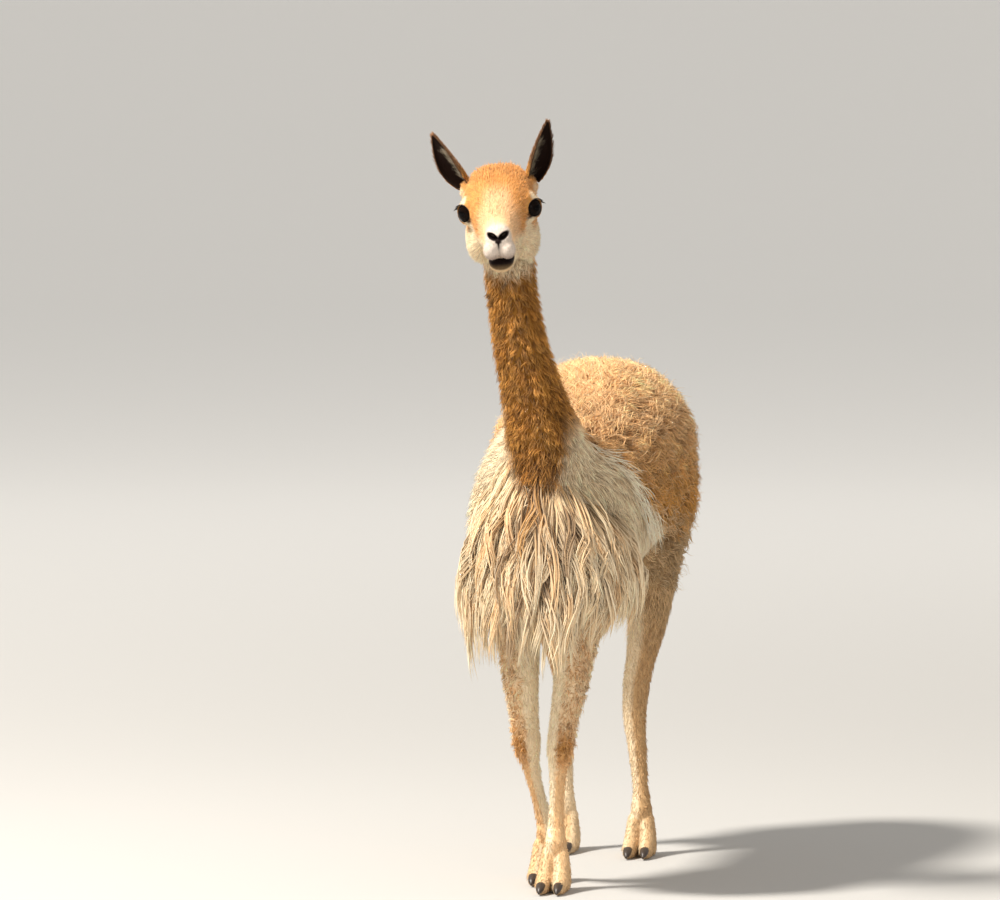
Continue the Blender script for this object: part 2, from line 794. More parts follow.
# %% [markdown]
# The face has an orange brow, a pink bridge and cream cheeks, with a pale spot over the eye and
# one before the ear. Small markings are laid on by their distance from a place.

# %% Colours of the face
PINK_TAN = tone(240, 198, 152)
MUZZLE = tone(214, 200, 188)
MAUVE = tone(142, 116, 106)


def face_colour(q, p):
    eye = on_left(q)
    side, y, z = eye.T
    fine = ripple(p, 0.012, 8)
    bridge = (1 - ramp(side, 0.012, 0.032)) * ramp(-y, 0.010, 0.050)
    lower = ramp(-z, 0.020, 0.044) * ramp(side, 0.008, 0.030)
    lower = np.maximum(lower, ramp(-z, 0.036, 0.056)) * (1 - ramp(y, 0.030, 0.060))
    colour = painted(
        ORANGE_TAN,
        (CINNAMON, ramp(y, 0.05, 0.09)),
        (PINK_TAN, bridge * 0.95),
        (PINK_TAN, ramp(-y, 0.045, 0.080) * 0.9),
        (CREAM, lower * (0.94 + 0.05 * fine)),
        (MUZZLE, ramp(-y + 0.25 * z, 0.103, 0.114)),
        (MAUVE, ramp(-z, 0.042, 0.057) * ramp(-y, 0.088, 0.104) * 0.75),
        (DIRTY, ramp(-z, 0.066, 0.072) * ramp(-y, 0.060, 0.090) * 0.8),
        (CREAM, near(eye, EYE_SPOT + (-0.002, -0.018, -0.024), 0.022)),
        (CREAM, near(eye, EYE_SPOT + (0.012, -0.004, 0.022), 0.015) * 0.9),
        (CREAM, near(eye, np.array(EAR_ROOT) + (0.010, -0.014, -0.014), 0.017) * 0.6),
        (DARK_SKIN, near(eye, EYE_SPOT + (0.0015, -0.0195, -0.0085), 0.0095) * 0.95),
        (BROWN, near(eye, EYE_SPOT + (-0.0030, -0.0250, -0.0100), 0.0100) * 0.6),
    )
    return colour * (1 + 0.04 * fine)[:, None]


print("the muzzle is", np.round(MUZZLE, 3))

# %% [markdown]
# Nostrils, lips and lids have no hair, and their skin is nearly black. Last, one function asks
# each region for its colour and blends them where they meet.

# %% Bare skin, and the whole coat
LIP_SHADE = tone(104, 84, 60)
TAKES_NOD = -0.57


def bare_skin(q, colour):
    """Nostrils, the cleft of the lip, the lips and the lids, where the skin is dark."""
    nose = on_left(q)
    side, y, z = nose.T
    slit = nose - np.array(NOSTRIL)
    c, s = math.cos(NOSTRIL_SLANT), math.sin(NOSTRIL_SLANT)
    along, over = slit[:, 0] * c + slit[:, 2] * s, slit[:, 2] * c - slit[:, 0] * s
    hole = 1 - ramp(np.sqrt((along / 0.0110) ** 2 + (over / 0.0058) ** 2), 0.8, 1.15)
    hole = hole * ramp(-y, 0.105, 0.115)
    line = (1 - ramp(side, 0.0010, 0.0030)) * ramp(-y, 0.110, 0.118) * (1 - ramp(z, -0.022, -0.014))
    line = line * (0.35 + 0.65 * ramp(z, -0.042, -0.030)) * ramp(z, -0.0575, -0.0545)
    fork = 1 - ramp(np.hypot(side * 0.8, z + 0.0240), 0.0034, 0.0062)
    fork = fork * ramp(-y, 0.113, 0.120)
    lip = 1 - ramp(np.hypot(side / 0.0262, (z + 0.0575) / 0.0195), 0.86, 1.04)
    lip = lip * ramp(-y, 0.070, 0.086) * (1 - ramp(z, -0.0575, -0.0550))
    mouth = blend(DARK_SKIN, LIP_SHADE, ramp(-z, 0.0640, 0.0745))
    gap = np.linalg.norm(nose - EYE_SPOT, axis=1)
    fold = 1 - ramp(gap, EYE_RADIUS + 0.0010, EYE_RADIUS + 0.0034)
    dark = np.maximum(np.maximum(hole, line), fork)
    return painted(colour, (DARK_SKIN, dark), (mouth, lip), (DARK_SKIN, fold * 0.8))


def coat_colour(points, normals):
    """The coat's colour at any places of the animal, which face the given ways."""
    p = body_space(points)
    ahead = p[:, 1] < -0.15
    return painted(
        trunk_colour(p, normals),
        (leg_colour(p, normals), 1 - ramp(p[:, 2], 0.470, 0.545)),
        (neck_colour(p, normals), ramp(over_neck_base(p) + neck_wedge(p), -0.020, 0.020) * ahead),
        (face_colour(head_space(points), p), ramp(p[:, 2] + p[:, 1] * TAKES_NOD, 1.255, 1.290) * ahead),
    )


ON_BACK, UPWARDS = np.array([[0.0, 0.1, 0.87]]), np.array([[0.0, 0.0, 1.0]])
print("on the back the coat is", np.round(coat_colour(ON_BACK, UPWARDS), 3))

# %% [markdown]
# Body, feet, head and ears are joined in one object, so no seam shows where the solids were
# parted. The skin between the hairs lies in their shade, so it takes the coat's colour darkened,
# except on the muzzle and lids, where it is bare.

# %% One skin, coloured
UNDERCOAT = 0.42
BARE_SHADE = 0.95
LEG_SHADE = 0.90
EAR_BACK = tone(132, 94, 62)
EAR_DARK = tone(26, 14, 9)
WARM_ROOTS = np.array((0.42, 0.30, 0.17))


def mesh_arrays(mesh):
    """The places and the normals of a mesh's points."""
    found = []
    for wanted in ("co", "normal"):
        values = np.empty(len(mesh.vertices) * 3, np.float32)
        mesh.vertices.foreach_get(wanted, values)
        found.append(values.reshape(-1, 3).astype(float))
    return found


def set_colour(mesh, colours):
    layer = mesh.color_attributes.new("coat", "FLOAT_COLOR", "POINT")
    rgba = np.ones((len(mesh.vertices), 4), np.float32)
    rgba[:, :3] = np.clip(colours, 0.0, 1.0)
    layer.data.foreach_set("color", rgba.reshape(-1))


def worn(made, finish):
    """A piece of the animal, with its finish on."""
    made.data.materials.append(finish)
    made.data.shade_smooth()
    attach(made, "root")
    return made


ear_counts = [len(item.data.vertices) for item in ears]
body_mesh, head_mesh = body.data.copy(), head.data.copy()
foot_meshes = [item.data.copy() for item in feet]
skin = joined("vicuna_skin", [body, head, *feet, *ears])
points, normals = mesh_arrays(skin.data)
q = head_space(points)
face = (points[:, 2] > 1.0)[:, None]
bare = ramp(-q[:, 1], 0.080, 0.105) * face[:, 0]
woolly = ramp(points[:, 2], 0.34, 0.48) * (1 - 0.6 * ramp(points[:, 2], 1.05, 1.12))
shade = LEG_SHADE + (UNDERCOAT - LEG_SHADE) * woolly
shade = shade + (BARE_SHADE - shade) * bare
colours = coat_colour(points, normals) * (shade[:, None] + (1 - shade[:, None]) * WARM_ROOTS * 0.5)
colours = np.where(face, bare_skin(q, colours), colours)
end = len(points)
for count in reversed(ear_counts):
    colours[end - count : end - count // 2] = EAR_BACK * 0.8
    colours[end - count // 2 : end] = EAR_DARK
    end -= count
set_colour(skin.data, colours)
print("skin:", len(skin.data.polygons), "faces")

# %% [markdown]
# A material is a small tree of nodes. Each finish here starts from the same shader, sets a few of
# its inputs, and wires patterns into it. Helpers make each step one line, so that the wiring can
# be read as a list.

# %% Helpers for materials


def set_inputs(made, values):
    for socket, value in values.items():
        made.inputs[socket].default_value = value
    return made


def node(tree, kind, values=()):
    return set_inputs(tree.nodes.new("ShaderNode" + kind), dict(values))


def colour_mix(tree, first, second):
    made = tree.nodes.new("ShaderNodeMix")
    made.data_type = "RGBA"
    return set_inputs(made, {"A": (*first, 1), "B": (*second, 1)})


def wire(tree, *links):
    """Links, each given as a node and its output, and a node and its input."""
    for source, output, target, entry in links:
        tree.links.new(source.outputs[output], target.inputs[entry])


def new_finish(name, values):
    """A new material, its tree, and its shader with these values."""
    made = bpy.data.materials.new(name)
    made.use_nodes = True
    return made, made.node_tree, set_inputs(made.node_tree.nodes["Principled BSDF"], values)


print("helpers: node, colour_mix, wire, new_finish")

# %% [markdown]
# Hair is not a plain colour: it takes its tone from the markings, with fibres a little lighter
# and darker, and a soft sheen. The same fine unevenness serves skin and coat, so it is made once
# as a node group and placed in each material with its own sizes.

# %% Finishes of hair and skin


def fibre_group():
    group = bpy.data.node_groups.new("fibre", "ShaderNodeTree")
    face = group.interface
    face.new_socket("Colour", in_out="INPUT", socket_type="NodeSocketColor")
    for word, usual in (("Scale", 700.0), ("Amount", 0.2)):
        face.new_socket(word, in_out="INPUT", socket_type="NodeSocketFloat").default_value = usual
    face.new_socket("Colour", in_out="OUTPUT", socket_type="NodeSocketColor")
    face.new_socket("Height", in_out="OUTPUT", socket_type="NodeSocketFloat")
    came, gone = (group.nodes.new(kind) for kind in ("NodeGroupInput", "NodeGroupOutput"))
    place = node(group, "TexCoord")
    stretch = node(group, "Mapping", {"Scale": (1.0, 1.0, 0.35)})
    noise = node(group, "TexNoise", {"Detail": 3.0})
    spread, weigh, lift = (node(group, "Math", {1: value}) for value in (0.5, 0.5, 1.0))
    spread.operation, weigh.operation, lift.operation = "SUBTRACT", "MULTIPLY", "ADD"
    tint = node(group, "VectorMath")
    tint.operation = "SCALE"
    wire(
        group,
        (place, "Object", stretch, "Vector"),
        (stretch, "Vector", noise, "Vector"),
        (came, "Scale", noise, "Scale"),
        (noise, "Fac", spread, 0),
        (spread, 0, weigh, 0),
        (came, "Amount", weigh, 1),
        (weigh, 0, lift, 0),
        (came, "Colour", tint, 0),
        (lift, 0, tint, "Scale"),
        (tint, "Vector", gone, "Colour"),
        (noise, "Fac", gone, "Height"),
    )
    return group


FIBRE = fibre_group()


def hair_finish(name, scale, amount, roughness, bump, sheen, gloss):
    values = {"Roughness": roughness, "Sheen Weight": sheen, "Sheen Roughness": 0.5}
    made, tree, shader = new_finish(name, {**values, "Specular IOR Level": gloss})
    colour = node(tree, "VertexColor")
    colour.layer_name = "coat"
    fibre = tree.nodes.new("ShaderNodeGroup")
    fibre.node_tree = FIBRE
    set_inputs(fibre, {"Scale": scale, "Amount": amount})
    relief = node(tree, "Bump", {"Strength": bump, "Distance": 0.001})
    wire(
        tree,
        (colour, "Color", fibre, "Colour"),
        (fibre, "Colour", shader, "Base Color"),
        (fibre, "Height", relief, "Height"),
        (relief, "Normal", shader, "Normal"),
    )
    return made


coat_finish = hair_finish("coat_hair", 900.0, 0.45, 0.78, 0.3, 0.10, 0.25)
skin_finish = hair_finish("coat_skin", 420.0, 0.50, 0.70, 0.6, 0.02, 0.06)
worn(skin, skin_finish)
FLESH = [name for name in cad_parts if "eye" not in name and "nail" not in name]
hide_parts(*FLESH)
print("skin in place of", len(FLESH), "nodes; finishes:", coat_finish.name, skin_finish.name)

# %% [markdown]
# Hair could be made of curves or of particles, but the finished pieces have to be solid meshes.
# So roots are spread evenly over the skin, and each gets a lie, the way that its hair leans.
# Roots that fall in one cell form a clump and lean towards its middle, which gives wool its small
# tufts.

# %% Roots and lies of the hair


def by_cubes(places, size, **wanted):
    """Sorts places into cubes of this size."""
    cell = np.floor(places / size).astype(np.int64)
    return np.unique(cell @ np.array((1, 100003, 10000600009)), **wanted)[1]


def spread_over(mesh, spacing, seed):
    """Seeded places and normals over a mesh, about one in each cube of the spacing."""
    draw = np.random.default_rng(seed)
    mesh.calc_loop_triangles()
    corners = np.empty(len(mesh.loop_triangles) * 3, np.int32)
    mesh.loop_triangles.foreach_get("vertices", corners)
    corners = corners.reshape(-1, 3)
    points, normals = mesh_arrays(mesh)
    a, b, c = points[corners].transpose(1, 0, 2)
    areas = np.linalg.norm(np.cross(b - a, c - a), axis=1) / 2
    tries = int(areas.sum() / spacing**2 * 3.0)
    picks = draw.choice(len(areas), tries, p=areas / areas.sum())
    u, v = draw.random(tries), draw.random(tries)
    folded = u + v > 1
    u[folded], v[folded] = 1 - u[folded], 1 - v[folded]
    mix = np.stack([1 - u - v, u, v], axis=1)[..., None]
    found, facing = ((values[corners[picks]] * mix).sum(axis=1) for values in (points, normals))
    first = by_cubes(found, spacing, return_index=True)
    return found[first], unit(facing)[first]


def tangent(ways, normals):
    """One way or many, laid into the surface."""
    ways = np.array(ways)
    return unit(ways - normals * (ways * normals).sum(axis=1, keepdims=True))


def turned(lies, normals, angles):
    """Lies turned about the normals."""
    return lies * np.cos(angles)[:, None] + np.cross(normals, lies) * np.sin(angles)[:, None]


def clump_pull(roots, size, seed):
    """For each root, the way to the middle of its clump, and the clump's own lightness and lean."""
    draw = np.random.default_rng(seed)
    shift = np.stack([ripple(roots, size * 3, seed + k) for k in range(3)], axis=1)
    group = by_cubes(roots + 0.35 * size * shift, size, return_inverse=True).reshape(-1)
    count = np.bincount(group)
    middles = np.stack([np.bincount(group, roots[:, k]) / count for k in range(3)], axis=1)
    light, lean = draw.normal(size=(2, len(count)))
    return middles[group] - roots, light[group], lean[group]


print("the body offers", len(body_mesh.polygons), "faces to root in")

# %% [markdown]
# A tuft is a thin spike of three sides, the fewest that close. Tens of thousands are made at once
# as arrays, far faster than one by one. Each keeps a small patch of the skin's own unwrap.

# %% Spikes
PATCH = 0.003
BAKE_MAP = "OFBake"


def spikes(path, sides, ups, widths, thickness):
    """Points of three-sided spikes: path is (tufts, rings + 1, 3), the last being the tip."""
    tufts, rings = path.shape[0], path.shape[1] - 1
    points = np.empty((tufts, 3 * rings + 1, 3))
    for ring in range(rings):
        wide = widths[:, ring, None]
        for corner, turn in enumerate((90, 210, 330)):
            c, s = math.cos(math.radians(turn)), math.sin(math.radians(turn))
            offset = sides * c * wide + ups * s * thickness * wide
            points[:, 3 * ring + corner] = path[:, ring] + offset
    points[:, -1] = path[:, -1]
    return points


def along_spike(rings):
    """How far up its spike each point stands."""
    return np.append(np.repeat(np.arange(rings) / rings, 3), 1.0)


def spike_mesh(name, points, colours, uv, finish):
    """One piece of many spikes, with their colours and their patches of the unwrap."""
    tufts, each = points.shape[:2]
    rings = each // 3
    last = each - 4
    faces = quads(rings, 3) + [(last + k, last + (k + 1) % 3, each - 1) for k in range(3)]
    loops = (np.arange(tufts)[:, None] * each + np.concatenate(faces)).reshape(-1)
    sizes = np.tile([len(face) for face in faces], tufts)
    mesh = bpy.data.meshes.new(name)
    mesh.vertices.add(tufts * each)
    mesh.vertices.foreach_set("co", points.reshape(-1).astype(np.float32))
    mesh.loops.add(len(loops))
    mesh.loops.foreach_set("vertex_index", loops.astype(np.int32))
    mesh.polygons.add(len(sizes))
    mesh.polygons.foreach_set("loop_start", (np.cumsum(sizes) - sizes).astype(np.int32))
    mesh.update(calc_edges=True)
    set_colour(mesh, colours.reshape(-1, 3))
    across = np.append(np.tile(np.arange(3) / 3, rings), 0.5)
    patch = uv[:, None] + PATCH * (np.stack([across, along_spike(rings)], axis=1) - 0.5)
    layer = mesh.uv_layers.new(name=BAKE_MAP)
    layer.data.foreach_set("uv", patch.reshape(-1, 2)[loops].astype(np.float32).reshape(-1))
    print(f"{name}: {tufts} tufts, {tufts * (2 * len(faces) - 3)} triangles")
    return worn(add_object(name, mesh), finish)


print("a spike of three rings has", len(along_spike(3)), "points")

# %% [markdown]
# A tuft starts under the skin, rises, bends over along its lie, and tapers to a point. Deep in a
# coat the light that arrives has passed through other hair, so roots are not just darker but
# warmer than the tips.

# %% One kind of hair after another
TIP_LIGHT = 1.14
# What a kind of tuft has where its own look says nothing else.
USUAL = {"lean": 0.0, "scale": 1.0, "slim": 1.0, "floor": -1.0, "depth": WARM_ROOTS, "colour": None}


def tufted(name, roots, normals, way, look, unwrap, seed):
    """Grows one piece of the coat. look holds the tufts' sizes; unwrap gives each root its place."""
    draw = np.random.default_rng(seed)
    look = {**USUAL, **look}
    count, rings = len(roots), look["rings"]
    length = look["length"] * draw.uniform(0.72, 1.28, count) * look["scale"]
    width = look["width"] * draw.uniform(0.75, 1.25, count) * look["slim"]
    pull, light, lean = clump_pull(roots, look["clump"], seed + 1)
    stray = draw.normal(0, look["stray"], count)
    lies = turned(tangent(way, normals), normals, stray + look["lean"] * lean)
    sides = np.cross(normals, lies)
    rise = np.sin(look["rise"] * draw.uniform(0.6, 1.35, count))
    run = np.sqrt(np.maximum(1 - rise**2, 0.05))
    phase = 2.6 * lean + draw.normal(0, 0.8, count)
    path = np.empty((count, rings + 1, 3))
    for ring in range(rings + 1):
        t = ring / rings
        up = length * rise * (1.55 * t - 0.55 * t * t) - look["sink"] * (1 - t)
        along = length * run * (0.55 * t + 0.45 * t * t)
        wave = length * look["curl"] * (np.sin(phase + 4.4 * t) - np.sin(phase)) * t
        path[:, ring] = roots + normals * up[:, None] + lies * along[:, None] + sides * wave[:, None]
        path[:, ring] += pull * (look["gather"] * t**1.3)
    path[..., 2] = np.maximum(path[..., 2], look["floor"])
    taper = 1 - 0.80 * (np.arange(rings) / rings) ** 1.5
    points = spikes(path, sides, normals, width[:, None] * taper / 2, 0.6)
    base = coat_colour(roots, normals) if look["colour"] is None else look["colour"]
    tint = (1 + 0.09 * draw.normal(size=count) + look["mottle"] * light)[:, None]
    base = base * np.clip(tint, 0.55, 1.5)
    share = 1 - (1 - along_spike(rings)[None, :, None]) ** 1.5
    colours = base[:, None] * (look["depth"] + (TIP_LIGHT - look["depth"]) * share)
    return spike_mesh(name, points, colours, unwrap(roots), coat_finish)


print("roots take", WARM_ROOTS, "of the coat's colour, tips", TIP_LIGHT)

# %% [markdown]
# Each region is unwrapped round its own axis: the trunk round the spine, the neck and legs round
# their length, the head round the muzzle. That is the map where each tuft keeps its patch.

# %% Unwraps of the skin


def wrap_round(angle, share, column=0, columns=1):
    u = ((angle / math.tau + 0.5) * 0.98 + 0.01 + column) / columns
    return np.stack([u, np.clip(share, 0.004, 0.996)], axis=1)


def unwrap_trunk(points):
    x, y, z = body_space(points).T
    return wrap_round(np.arctan2(x - 0.01, z - np.interp(y, BARREL[:, 1], BARREL[:, 2])), (y + 0.36) / 0.84)


def unwrap_neck(points):
    p = body_space(points)
    return wrap_round(turn_about(NECK, p), (p[:, 2] - 0.66) / 0.54)


def unwrap_legs(points):
    p = body_space(points)
    column = 2 * (p[:, 1] > 0.05) + (p[:, 0] < 0)
    turns = np.stack([turn_about(rows, p) for rows in LEGS.values()])
    return wrap_round(turns[column, np.arange(len(p))], p[:, 2] / 0.62, column, 4)


def unwrap_head(points):
    x, y, z = head_space(points).T
    return wrap_round(np.arctan2(x, -(z + 0.02)), (y + 0.14) / 0.26)


def unwrap_tail(points):
    x, y, z = body_space(points).T
    return wrap_round(np.arctan2(x - 0.021, y - 0.43), (z - 0.50) / 0.30)


print("unwraps ready")

# %% [markdown]
# A vicuna wears several coats at once. The roots are first placed over the body's skin, one in
# each small cube, and then sorted by place: neck, tail, woolly trunk, or the smooth hair of the
# shoulder and belly. Under the bib the skin stays bare, because the long locks hide it.

# %% Where each kind of hair grows

TRUNK_SPACING = 0.0045


def bib_top(turn):
    """Height where the bib's locks begin: higher on the right shoulder, lower on the left."""
    return 0.698 + 0.056 * ramp(-turn, 0.2, 0.9) - 0.050 * ramp(turn, 0.6, 1.3)


def regions(roots, normals):
    """Which of the neck, tail, trunk and chest each root belongs to."""
    p = body_space(roots)
    y, z = p[:, 1], p[:, 2]
    neck = (over_neck_base(p) > -0.010 - neck_wedge(p)) & (y < -0.155) & (z < 1.125)
    tail = (y > 0.395 - 0.1 * (z - 0.7)) & (z < 0.76) & (y > 0.385)
    trunk = ~neck & ~tail & (z > 0.47) & (z < 1.0)
    smooth = (cream_share(p, normals) > 0.5) & (y < 0.10) | (y < -0.22)
    turn = bib_turn_at(p)
    covered = (np.abs(turn) < 1.85) & (z < bib_top(turn) - 0.055) & (y < -0.20)
    return p, neck, tail, trunk & ~smooth, trunk & smooth & ~covered


all_roots, all_normals = spread_over(body_mesh, TRUNK_SPACING, 11)
spots, _, tail_here, wool, flat = regions(all_roots, all_normals)
print("roots:", int(wool.sum()), "woolly,", int(flat.sum()), "smooth")

# %% [markdown]
# The fleece of the trunk is short, dense and curly. Its tufts lie back and down but swirl, and
# they gather in clumps of about two centimetres, each a little lighter or darker. On the top of
# the back and towards the thighs it shortens. It is made in bands, to keep each piece small.

# %% Fleece of the trunk
PALE_ROOTS = np.array((0.78, 0.68, 0.54))
FLEECE = dict(length=0.0235, width=0.0032, rise=0.62, curl=0.36, gather=0.75, clump=0.0200,
              lean=0.50, sink=0.004, stray=0.20, rings=3, mottle=0.16)
SWIRL = 0.8
BACK_AND_DOWN = (0.0, 0.75, -0.66)
FLEECE_BANDS = ((-1.0, 0.00), (0.00, 0.12), (0.12, 0.22), (0.22, 0.31), (0.31, 1.0))
for number, (start, end) in enumerate(FLEECE_BANDS):
    here = wool & (spots[:, 1] >= start) & (spots[:, 1] < end)
    roots, normals = all_roots[here], all_normals[here]
    lies = turned(tangent(BACK_AND_DOWN, normals), normals, SWIRL * ripple(roots, 0.055, 9))
    low = 1 - ramp(spots[here, 2] + 0.02 * ripple(spots[here], 0.05, 15), 0.49, 0.63)
    top = ramp(spots[here, 2], 0.76, 0.84)
    scale = 1 - 0.50 * low - 0.25 * top - 0.35 * ramp(-normals[:, 2], 0.5, 0.9)
    depth = WARM_ROOTS + (PALE_ROOTS - WARM_ROOTS) * (0.8 * top)[:, None, None]
    look = dict(FLEECE, scale=scale, depth=depth, slim=1 - 0.30 * top)
    tufted(f"fleece_{number + 1}", roots, normals, lies, look, unwrap_trunk, 20 + number)

# %% [markdown]
# On the shoulder and low on the flank the hair is smooth and pale. It hangs almost straight down,
# close to the skin, and its locks part only a little.

# %% Smooth hair of the shoulders and lower flank
SMOOTH = dict(length=0.0280, width=0.0024, rise=0.26, curl=0.10, gather=0.55, clump=0.0140,
              lean=0.15, sink=0.003, stray=0.12, rings=3, mottle=0.05)
SMOOTH_WAY = (0.0, 0.35, -0.94)
tufted("smooth_hair", all_roots[flat], all_normals[flat], SMOOTH_WAY, SMOOTH, unwrap_trunk, 30)

# %% [markdown]
# Where the pale shoulder meets the golden flank, a fringe of long pale hairs hangs over the
# border. A few fine hairs stand out of the fleece and catch the light along the back and rump.

# %% Fringe and stray hairs
FRINGE = dict(length=0.0560, width=0.0026, rise=0.30, curl=0.14, gather=0.95, clump=0.0180,
              lean=0.30, sink=0.003, stray=0.15, rings=5, mottle=0.06, colour=BIB_CREAM)
STRAYS = dict(length=0.0250, width=0.0013, rise=0.95, curl=0.25, gather=0.0, clump=0.0150,
              sink=0.002, stray=0.8, rings=4, mottle=0.08)
FRINGE_WAY = (0.0, 0.45, -0.90)
FRINGE_SHARE = 0.50
STRAY_SHARE = 0.035
draw = np.random.default_rng(31)
x, y, z = spots.T
beside = (np.abs(z - np.interp(y, BORDER_Y, BORDER_Z) + 0.004) < 0.020) & (y < -0.03) & (y > -0.25)
here = beside & (wool | flat) & (x > 0) & (draw.random(len(spots)) < FRINGE_SHARE)
tufted("border_fringe", all_roots[here], all_normals[here], FRINGE_WAY, FRINGE, unwrap_trunk, 32)
here = wool & (draw.random(len(spots)) < STRAY_SHARE)
roots, normals = all_roots[here], all_normals[here]
STRAYS["colour"] = blend(coat_colour(roots, normals), CREAM, np.full(len(roots), 0.5))
tufted("stray_hairs", roots, normals, BACK_AND_DOWN, STRAYS, unwrap_trunk, 33)

# %% [markdown]
# The neck has a finer, shorter wool that lies downwards and parts in small upright ridges. In
# front it runs down on the chest in a darker wedge.

# %% Neck
NECK_ROOTS = np.array((0.34, 0.23, 0.12))
NECK_WOOL = dict(length=0.0175, width=0.0023, rise=0.44, curl=0.20, gather=0.85, clump=0.0125,
                 lean=0.22, sink=0.003, stray=0.14, rings=3, mottle=0.21, depth=NECK_ROOTS)
NECK_SPACING = 0.0032
DOWN = (0.0, 0.10, -1.0)
roots, normals = spread_over(body_mesh, NECK_SPACING, 12)
spots_neck, here, *_ = regions(roots, normals)
look = dict(NECK_WOOL, scale=1 + 0.9 * (1 - ramp(spots_neck[here, 2], 0.70, 0.78)))
tufted("neck_wool", roots[here], normals[here], DOWN, look, unwrap_neck, 40)

# %% [markdown]
# The legs carry short close hair. The outer side of the forearm and the knee carry short tan
# curls. They stand up more than the hair around them, so their clumps make a bumpy edge against
# the light.

# %% Legs
CURL_ROOTS = np.array((0.62, 0.48, 0.30))
LEG_HAIR = dict(length=0.0105, width=0.0021, rise=0.25, curl=0.12, gather=0.40, clump=0.0080,
                sink=0.002, stray=0.25, rings=2, mottle=0.06, depth=PALE_ROOTS)
CURLS = dict(length=0.0120, width=0.0028, rise=0.44, curl=0.40, gather=0.80, clump=0.0120,
             lean=0.6, sink=0.002, stray=0.25, rings=3, mottle=0.10, depth=CURL_ROOTS)
LEG_SPACING = 0.0038
LEG_WAY = (0.0, 0.05, -1.0)
leg_roots, leg_normals = spread_over(body_mesh, LEG_SPACING, 13)
x, y, z = body_space(leg_roots).T
on_leg = (z <= 0.485) & (z > 0.072)
fore = y < 0.03
curly = on_leg & fore & (z > 0.215) & (z < 0.44)
curly &= (leg_normals[:, 1] < 0.25) & (-np.sign(x) * leg_normals[:, 0] < 0.20)
smooth_fore = on_leg & fore & ~curly & (z < 0.46)
for name, here, seed in (("fore_leg_hair", smooth_fore, 50), ("hind_leg_hair", on_leg & ~fore, 51)):
    look = dict(LEG_HAIR, scale=1 + 0.7 * ramp(z[here], 0.34, 0.48))
    tufted(name, leg_roots[here], leg_normals[here], LEG_WAY, look, unwrap_legs, seed)
tufted("forearm_curls", leg_roots[curly], leg_normals[curly], LEG_WAY, CURLS, unwrap_legs, 52)

# %% [markdown]
# On the feet the hair is short, and lies down and forward over the toes. No tuft goes below the
# ground that the pads stand on.

# %% Feet
FOOT_HAIR = dict(LEG_HAIR, length=0.0085, width=0.0019, rise=0.16, sink=0.0012, floor=0.0008)
FOOT_SPACING = 0.0034
DOWN_AND_AHEAD = (0.0, -0.35, -1.0)
found = []
for number, source in enumerate(foot_meshes):
    roots, normals = spread_over(source, FOOT_SPACING, 14 + number)
    keep = (roots[:, 2] < 0.092) & (roots[:, 2] > 0.005) & (normals[:, 2] > -0.6)
    found.append((roots[keep], normals[keep]))
roots, normals = (np.concatenate(values) for values in zip(*found))
tufted("foot_hair", roots, normals, DOWN_AND_AHEAD, FOOT_HAIR, unwrap_legs, 55)

# %% [markdown]
# On the face the hair is shortest. It starts at the nose, runs back over the bridge and cheeks,
# and stands in a small tousled crown between the ears. Behind the ears and down the nape it grows
# woolly, and passes into the coat of the neck.

# %% Face and crown
FACE = dict(length=0.0078, width=0.0012, rise=0.34, curl=0.05, gather=0.12, clump=0.0070,
            sink=0.0012, stray=0.17, rings=2, mottle=0.08, depth=PALE_ROOTS)
NAPE = dict(NECK_WOOL, length=0.0125, width=0.0022, rise=0.42, mottle=0.12, depth=WARM_ROOTS)
FACE_SPACING = 0.0024
FACE_REACH = 1.262
NAPE_LOW = 1.105
NAPE_SHARE = 0.45
OCCIPUT = 0.060
WISP_SHARE = 0.10
HAIRLESS = math.cos(math.radians(60))
NOSE = np.array((0.0, -0.135, -0.030))
BACK_OVER = np.array((0.0, 0.25, -0.15))
NAPE_WAY = (0.0, 0.25, -1.0)
roots, normals = spread_over(head_mesh, FACE_SPACING, 16)
q, p = head_space(roots), body_space(roots)
offset = on_left(q) - EYE_SPOT
gap = np.linalg.norm(offset, axis=1)
in_lids = (unit(offset) @ np.array(looking(1)) > HAIRLESS) & (gap < 1.8 * EYE_RADIUS)
dark = bare_skin(q, np.ones((len(q), 3)))[:, 0] < 0.6
on_face = p[:, 2] + p[:, 1] * TAKES_NOD > FACE_REACH
rear = ((on_face & (q[:, 1] > OCCIPUT)) | ~on_face) & (p[:, 2] > NAPE_LOW)
nape = rear & (np.random.default_rng(63).random(len(rear)) < NAPE_SHARE)
nape_roots, nape_normals = roots[nape], normals[nape]
keep = on_face & ~rear & ~dark & ~in_lids & (gap > EYE_RADIUS + 0.0022)
roots, normals, q, gap = roots[keep], normals[keep], q[keep], gap[keep]
away = unit(q - NOSE) + BACK_OVER
lies = tangent(away @ np.array(HEAD)[:3, :3].T, normals)
ear_gap = np.linalg.norm(on_left(q) - np.array(EAR_ROOT), axis=1)
crown = ramp(q[:, 2], 0.030, 0.052) * ramp(q[:, 1], -0.020, 0.015) * ramp(ear_gap, 0.014, 0.030)
jowl = ramp(-q[:, 2], 0.045, 0.080) * ramp(q[:, 1], -0.05, 0.0)
muzzle = ramp(-q[:, 1], 0.070, 0.105)
scale = 1 + 0.6 * crown + 0.6 * jowl - 0.50 * muzzle - 0.35 * (gap < EYE_RADIUS + 0.010)
tufted("face_hair", roots, normals, lies, dict(FACE, scale=scale), unwrap_head, 60)
top = (crown > 0.5) & (np.random.default_rng(61).random(len(roots)) < WISP_SHARE)
WISPS = dict(FACE, length=0.0115, width=0.0009, rise=0.85, stray=0.6)
